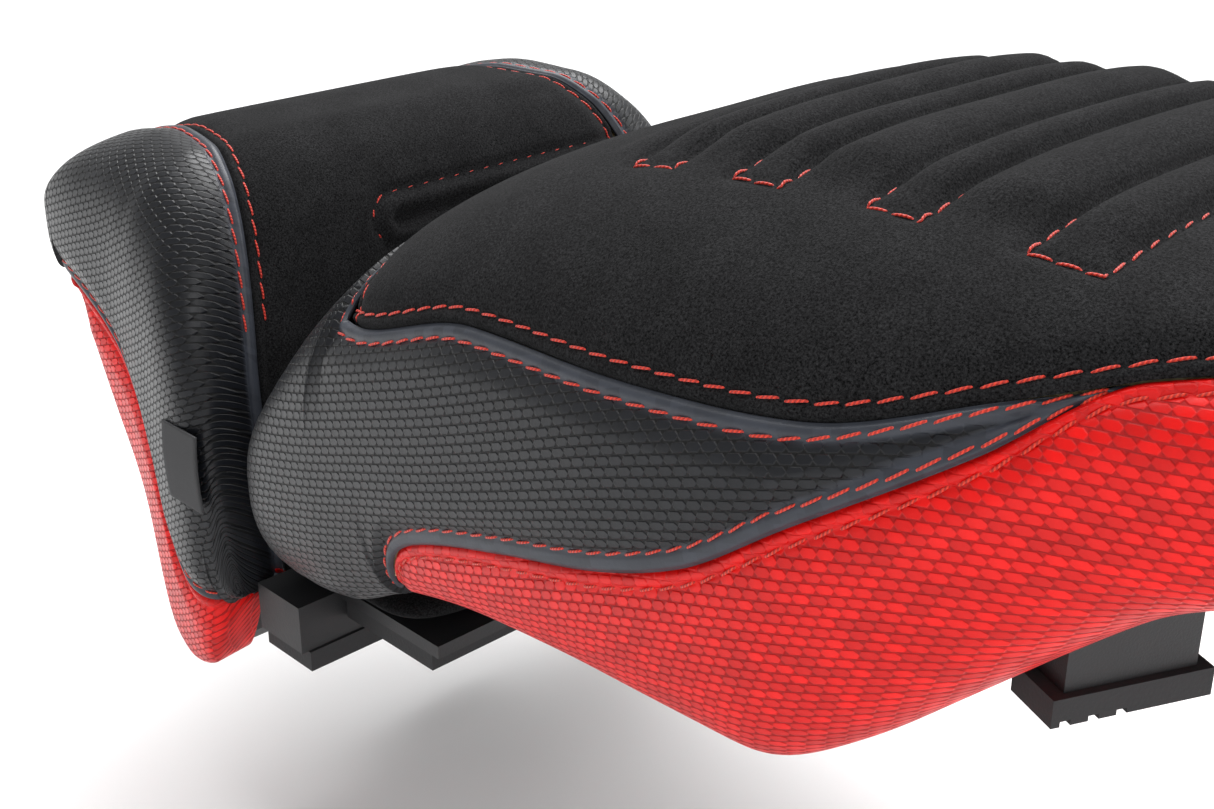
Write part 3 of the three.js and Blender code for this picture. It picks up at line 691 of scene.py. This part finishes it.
relief = (1.4 + has_top * (seam_relief(below_top, stitch_gap) - 1)
          + has_low * (seam_relief(above_low, low_gap) - 1))
band = np.maximum((wrap_x > rear_crest)[:, None] * seam_band(below_top, stitch_gap),
                  has_low * seam_band(above_low, low_gap))
for side, name in ((1, "left"), (-1, "right")):
    panel = sewn_panel("rider_side_panel_cover_" + name, rider_skin, grey_x, side * grey_s, relief,
                       vinyl_grey, band, flip=side > 0)
    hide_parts("rider_side_panel_" + name)
    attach(panel, "rider_section")
tables = (grey_x, grey_s, relief)
top_line = [t[wrap_x > rear_crest + 2] for t in beside(tables, stitch_gap, "low")]
low_line = [t[wrap_x >= hem_end] for t in beside(tables, low_gap, "high")]
lines = [(x, side * s, h) for x, s, h in (top_line, low_line) for side in (1, -1)]
sewn_thread("rider_side_stitches", rider_skin, lines, "rider_section")

# ---- Rider skirts ----
# Red vinyl with the same embossing, in a left and a right half that meet on the nose. They hang
# over the edge of the pan and are stapled under it.
skirt_x = np.concatenate([np.arange(hem_end, seam_tip, 2.0), np.arange(seam_tip, end_x - 6, 2.0),
                          end_x - nose_rows, end_x - end_rows[end_rows < nose_rows[-1]][::-1]])
skirt_top = seam_reach(lower_seam, skirt_x) * nose_turn(skirt_x)
skirt_low = np.interp(skirt_x, rider_skin["x"], rider_skin["reach"])
skirt_top = np.minimum(skirt_top, skirt_low - 0.3)
red_s = across(skirt_top, skirt_low, 50)
red_x = np.broadcast_to(skirt_x[:, None], red_s.shape)
below = red_s - skirt_top[:, None]
skirt_gap = stitch_gap + 0.3
ripple = 0.5 * np.sin(red_x / 15 + 1.3 * np.sin(red_x / 37)) * np.clip((below - 30) / 40, 0, 1)
relief = seam_relief(below, skirt_gap) - 0.6 + ripple
for side, name in ((1, "left"), (-1, "right")):
    panel = sewn_panel("rider_skirt_cover_" + name, rider_skin, red_x, side * red_s, relief,
                       vinyl_red, 0.6 * seam_band(below, skirt_gap), flip=side > 0)
    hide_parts("rider_skirt_" + name)
    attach(panel, "rider_section")
x, s, height = beside((red_x, red_s, relief), skirt_gap, "low")
lines = [(x, side * s, height) for side in (1, -1)]
sewn_thread("rider_skirt_stitches", rider_skin, lines, "rider_section")

# ---- Rider foam ----
# One block of moulded polyurethane foam, glued on the pan, that gives the cushion its shape.
# The cover hides it.
foam, tree, shader, add = node_material("moulded_foam")
pores = add("TexVoronoi", [("Vector", add("TexCoord").outputs["Object"]), ("Scale", 700)])
# The colour darkens towards each pore's middle, where the bump sinks: painted shade in the pits.
tint = add("Mix", [("Factor", pores.outputs["Distance"]), ("A", (0.2, 0.15, 0.06, 1)),
                   ("B", (0.62, 0.52, 0.3, 1))], data_type="RGBA")
pitted = add("Bump", [("Strength", 0.6), ("Distance", 0.0006),
                      ("Height", pores.outputs["Distance"])])
tree.links.new(tint.outputs["Result"], shader.inputs["Base Color"])
tree.links.new(pitted.outputs["Normal"], shader.inputs["Normal"])
shader.inputs["Roughness"].default_value = 0.9


def foam_block(name, skin, body, cad_name, inset=4.5, pan_depth=9, end_inset=6):
    """The skin's cross sections drawn in by `inset` at the sides and top, and stopped `pan_depth`
    above the base, where the pan lies. Each is one closed loop. The two end loops shrink to a
    fiftieth of their size, `end_inset` inside the skin's ends."""
    y, z, x = skin["y"][::5, ::6], skin["z"][::5, ::6], skin["x"][::5]
    top = z[:, :1] - inset
    bottom = np.minimum(z.min(1, keepdims=True) + pan_depth, top)
    z = np.clip(z - inset, bottom, top)
    y = np.maximum(y - inset, 0)
    y[:, 0] = 0
    close = np.ones(len(x))
    close[[0, -1]] = 0.02
    y, z = y * close[:, None], bottom + (z - bottom) * close[:, None]
    length = x[-1] - x[0]
    inside = x[0] + end_inset + (x - x[0]) * (length - 2 * end_inset) / length
    loop_y = np.concatenate([y, -y[:, :0:-1]], 1)
    loop_z = np.concatenate([z, z[:, :0:-1]], 1)
    loop_x = np.broadcast_to(inside[:, None], loop_y.shape)
    block = grid_mesh(name, np.stack([loop_x, loop_y, loop_z], -1)[:, ::-1] * MM, closed=True)
    block.data.materials.append(foam)
    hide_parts(cad_name)
    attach(block, body)


foam_block("rider_foam_block", rider_skin, "rider_section", "rider_foam_core")

# ---- Passenger centre panel ----
# The same suede over the middle of the passenger cushion, from its crest down the steep front.
# One sewn channel with a rounded outline and a slit along its middle crosses the front.
passenger_low, passenger_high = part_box("passenger_centre_panel")
passenger = {
    "start": passenger_low.x / MM, "length": (passenger_high.x - passenger_low.x) / MM,
    "half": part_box("passenger_side_panel_left")[1].y / MM, "level": rider_level,
    "round": 6,
    "wide": [(0, 0.7), (0.03, 0.8), (0.1, 0.85), (0.25, 0.88), (0.5, 0.91), (0.7, 0.96), (0.9, 1),
             (1, 0.96)],
    "crown": [(0, -86), (0.03, -74), (0.08, -64), (0.2, -51), (0.35, -43), (0.5, -39), (0.65, -39),
              (0.78, -46), (0.87, -60), (0.93, -80), (0.97, -104), (1, -130)],
    "waist": [(0, -86), (0.1, -88), (0.25, -96), (0.4, -108), (0.55, -124), (0.7, -150),
              (0.85, -165), (1, -170)],
    "base": [(0, -92), (0.05, -98), (0.12, -102), (0.24, -110), (0.42, -150), (0.58, -188),
             (0.653, -230), (0.747, -238), (0.84, -234), (0.92, -212), (0.96, -196), (1, -195)],
    "tuck": [(0, 0.64), (0.1, 0.82), (0.5, 0.92), (1, 0.92)],
}
passenger_skin = wrap_skin(passenger, rows=240)
panel_half = [(-500, 66), (-430, 70), (-371, 77), (-330, 88), (-306, 98), (-298, 104), (-250, 108)]
passenger_end = passenger["start"] + passenger["length"]
front_start = -345 + shift  # from here forward the centre panel falls as the steep front


def reach_to_side(skin, x, width):
    """How far round from the crown the skin comes out to `width` from the middle, at each x."""
    x = np.clip(x, skin["x"][0] + past_turn, skin["x"][-1] - past_turn)
    i = np.clip(np.searchsorted(skin["x"], x), 0, len(skin["x"]) - 1)
    y = np.maximum.accumulate(skin["y"][i], 1)
    k = np.clip((y < width[:, None]).sum(1) - 1, 0, y.shape[1] - 2)
    row = np.arange(len(x))
    f = np.clip((width - y[row, k]) / np.maximum(y[row, k + 1] - y[row, k], 1e-6), 0, 1)
    return (k + f) / (y.shape[1] - 1) * skin["reach"][i]


back_x = np.concatenate([passenger["start"] + end_rows,
                         np.linspace(passenger["start"] + end_turn, passenger_end - end_turn,
                                     150)[1:-1],
                         passenger_end - end_rows[::-1]])
panel_reach = reach_to_side(passenger_skin, back_x, smooth_curve(panel_half, back_x - shift))
panel_reach = soften(panel_reach[:, None], 4)[:, 0]
top_s = across(-panel_reach, panel_reach, 90)
top_x = np.broadcast_to(back_x[:, None], top_s.shape)
slot_level, slot_width, slot_low, slot_high = -73 + rider_level, 20, -40, 90
far_off = 50  # a distance from the channel at which its relief is nothing
points = on_skin(passenger_skin, top_x, top_s)
off_end = points[..., 1] - np.clip(points[..., 1], slot_low + slot_width / 2, slot_high)
apart = np.hypot(points[..., 2] - slot_level, off_end) - slot_width / 2  # below 0 inside it
apart = np.where(top_x > front_start, apart, far_off)
slit = np.exp(-((apart + slot_width / 2) / 2.4) ** 2)
relief = (seam_relief(panel_reach[:, None] - np.abs(top_s), stitch_gap) - 1.0
          - 1.6 * np.exp(-(apart / 1.8) ** 2) + 1.6 * np.clip(-apart / 4, 0, 1) - 4.5 * slit)
passenger_centre = sewn_panel("passenger_centre_panel_cover", passenger_skin, top_x, top_s,
                              relief, suede, flip=True)
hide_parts("passenger_centre_panel")
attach(passenger_centre, "passenger_section")
stitch_end = 6  # the stitches stop this far inside the cushion's ends
inside_end = (back_x > passenger["start"] + stitch_end) & (back_x < passenger_end - stitch_end)
lines = [[t[inside_end] for t in beside((top_x, top_s, relief), stitch_gap, edge)]
         for edge in ("low", "high")]
around = np.linspace(0, 1, 260)  # along the stitches: one straight run, a half circle, the other
run = slot_high - slot_low - slot_width / 2
bend = np.pi * slot_width / 2
d = around * (2 * run + bend)
angle = np.clip((d - run) / (slot_width / 2), 0, np.pi)
line_y = (slot_low + slot_width / 2 - np.sin(angle) * slot_width / 2
          + np.where(d < run, run - d, np.maximum(d - run - bend, 0)))
line_z = slot_level + np.cos(angle) * slot_width / 2
front = passenger_skin["x"] > front_start
line_x = np.interp(-line_z, -passenger_skin["z"][front, 0], passenger_skin["x"][front])
line_s = np.sign(line_y) * reach_to_side(passenger_skin, line_x, np.abs(line_y))
lines.append((line_x, line_s, np.full_like(line_x, -1.9)))
sewn_thread("passenger_suede_stitches", passenger_skin, lines, "passenger_section")

# ---- Passenger side panels and skirts ----
# Embossed black vinyl from the suede down to a seam that falls steeply forward, then a red skirt
# that is narrow at the back and deep at the front.
low_seam = [(-470, -98), (-440, -101), (-410, -105), (-380, -117), (-352, -145), (-342, -165),
            (-334, -187), (-320, -198), (-290, -201)]
pass_hem = np.interp(back_x, passenger_skin["x"], passenger_skin["reach"])
seam_height = smooth_curve(low_seam, back_x - shift) + rider_level
seam_s = reach_to_height(passenger_skin, back_x, seam_height)
seam_s = np.clip(seam_s, panel_reach + 0.3, pass_hem - 0.3)
flank_s = across(panel_reach, seam_s, 60)
flank_x = np.broadcast_to(back_x[:, None], flank_s.shape)
below = flank_s - panel_reach[:, None]
above = seam_s[:, None] - flank_s
relief = seam_relief(below, stitch_gap) + seam_relief(above, stitch_gap) - 0.8
band = np.maximum(seam_band(below, stitch_gap + 1), seam_band(above, stitch_gap))
hang_s = across(seam_s, pass_hem, 40)
hang_x = np.broadcast_to(back_x[:, None], hang_s.shape)
under = hang_s - seam_s[:, None]
hang_relief = seam_relief(under, skirt_gap) - 0.6
for side, name in ((1, "left"), (-1, "right")):
    panel = sewn_panel("passenger_side_panel_cover_" + name, passenger_skin, flank_x,
                       side * flank_s, relief, vinyl_grey, band, flip=side > 0)
    skirt = sewn_panel("passenger_skirt_cover_" + name, passenger_skin, hang_x, side * hang_s,
                       hang_relief, vinyl_red, 0.6 * seam_band(under, skirt_gap), flip=side > 0)
    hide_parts("passenger_side_panel_" + name)
    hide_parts("passenger_skirt_" + name)
    for piece, slot_name in ((panel, "carbon_vinyl"), (skirt, "red_vinyl")):
        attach(piece, "passenger_section")
lines = [beside((flank_x, flank_s, relief), stitch_gap, edge) for edge in ("low", "high")]
lines = [(x[inside_end], side * s[inside_end], h[inside_end])
         for x, s, h in lines for side in (1, -1)]
sewn_thread("passenger_side_stitches", passenger_skin, lines, "passenger_section")
foam_block("passenger_foam_block", passenger_skin, "passenger_section", "passenger_foam_core")

# ---- Passenger lip pad and tag ----
# A thin padded flap in suede lies on the pan's shelf under the rider section's tail. A small
# blank loop of woven tape is sewn to the right side panel.
# The pad is a superellipse in plan, carried up from pole to pole: its width follows a power of
# the cosine of the way up and its height the sine, with a slight unevenness on both faces.
low, high = (np.array(c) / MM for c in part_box("passenger_front_lip_pad"))
u = np.linspace(0, 2 * np.pi, 160, endpoint=False)[None]
v = np.linspace(-np.pi / 2, np.pi / 2, 40)[:, None]
middle, size = (low + high) / 2, (high - low) / 2
out = np.maximum(np.cos(v), 1e-4) ** 0.35
lip_x = middle[0] + size[0] * out * np.sign(np.cos(u)) * np.abs(np.cos(u)) ** 0.4
lip_y = middle[1] + size[1] * out * np.sign(np.sin(u)) * np.abs(np.sin(u)) ** 0.4
lip_z = middle[2] + size[2] * np.sin(v) + 0.4 * np.sin(lip_y / 9) * np.sin(lip_x / 11) * np.cos(v)
lip = grid_mesh("passenger_lip_pad_cover", np.stack([lip_x, lip_y, lip_z], -1) * MM, closed=True)
lip.data.materials.append(suede)
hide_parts("passenger_front_lip_pad")
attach(lip, "passenger_section")

tape, tree, shader, add = node_material("woven_tape")
ribs = add("TexWave", [("Vector", add("TexCoord").outputs["Object"]), ("Scale", 900),
                       ("Distortion", 1.0)], bands_direction="Z")
# The colour follows the rib relief: darker in each rib's low part as painted shade.
rib_groove_shade = add("Mix", [("Factor", ribs.outputs["Fac"]), ("A", (0.01, 0.01, 0.011, 1)),
                   ("B", (0.09, 0.09, 0.095, 1))], data_type="RGBA")
ridge = add("Bump", [("Strength", 0.5), ("Distance", 0.0003), ("Height", ribs.outputs["Fac"])])
tree.links.new(rib_groove_shade.outputs["Result"], shader.inputs["Base Color"])
tree.links.new(ridge.outputs["Normal"], shader.inputs["Normal"])
shader.inputs["Roughness"].default_value = 0.8
# The tag is a strip whose middle stands out from its sewn ends by half a sine.
low, high = (np.array(c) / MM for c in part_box("passenger_side_tag"))
tag_bulge = 0.9
tag_x, tag_z = np.meshgrid(np.linspace(low[0], high[0], 12), np.linspace(low[2], high[2], 24),
                           indexing="ij")
tag_y = high[1] - 0.4 - tag_bulge * np.sin((tag_z - low[2]) / (high[2] - low[2]) * np.pi)
tag = grid_mesh("passenger_tag_loop", np.stack([tag_x, tag_y, tag_z], -1) * MM)
tag.data.materials.append(tape)
fold = tag.modifiers.new("fold", "SOLIDIFY")
fold.thickness = 0.0009
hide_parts("passenger_side_tag")
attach(tag, "passenger_section")

# ---- Pans, rubber and steel ----
# The pans are black injection-moulded plastic with a fine grain. The bumpers and feet are
# moulded rubber, and the tongues, brackets, striker and screws are zinc-plated steel.


def worn_solid(name, dark, light, roughness, metallic, grain_scale, grain_depth):
    """A hard material whose colour and roughness follow two sizes of noise."""
    material, tree, shader, add = node_material(name)
    place = add("TexCoord").outputs["Object"]
    grain = add("TexNoise", [("Vector", place), ("Scale", grain_scale), ("Detail", 4)])
    stain = add("TexNoise", [("Vector", place), ("Scale", 35), ("Detail", 5)])
    colour = add("Mix", [("Factor", stain.outputs["Fac"]), ("A", dark), ("B", light)],
                 data_type="RGBA")
    dull = add("MapRange", [("Value", stain.outputs["Fac"]), ("To Min", roughness - 0.12),
                            ("To Max", roughness + 0.15)])
    bump = add("Bump", [("Strength", 0.4), ("Distance", grain_depth),
                        ("Height", grain.outputs["Fac"])])
    tree.links.new(colour.outputs["Result"], shader.inputs["Base Color"])
    tree.links.new(dull.outputs["Result"], shader.inputs["Roughness"])
    tree.links.new(bump.outputs["Normal"], shader.inputs["Normal"])
    shader.inputs["Metallic"].default_value = metallic
    return material


plastic = worn_solid("moulded_plastic", (0.006, 0.006, 0.007, 1), (0.022, 0.022, 0.024, 1),
                     0.5, 0, 1600, 0.0003)
rubber = worn_solid("black_rubber", (0.008, 0.008, 0.009, 1), (0.03, 0.03, 0.032, 1),
                    0.7, 0, 900, 0.0004)
steel = worn_solid("zinc_steel", (0.32, 0.33, 0.35, 1), (0.62, 0.62, 0.6, 1),
                   0.35, 1, 2200, 0.0001)
finish = {"_pan": plastic, "bumper": rubber, "foot": rubber, "tongue": steel, "bracket": steel,
          "striker": steel}
for name, node in nodes.items():
    for word, material in finish.items():
        if word in name and "panel" not in name:
            node.data.materials.clear()
            node.data.materials.append(material)
            edges = node.modifiers.new("soft_edges", "BEVEL")
            edges.width = 0.0008
            edges.segments = 2
            edges.limit_method = "ANGLE"
            edges.angle_limit = math.radians(40)
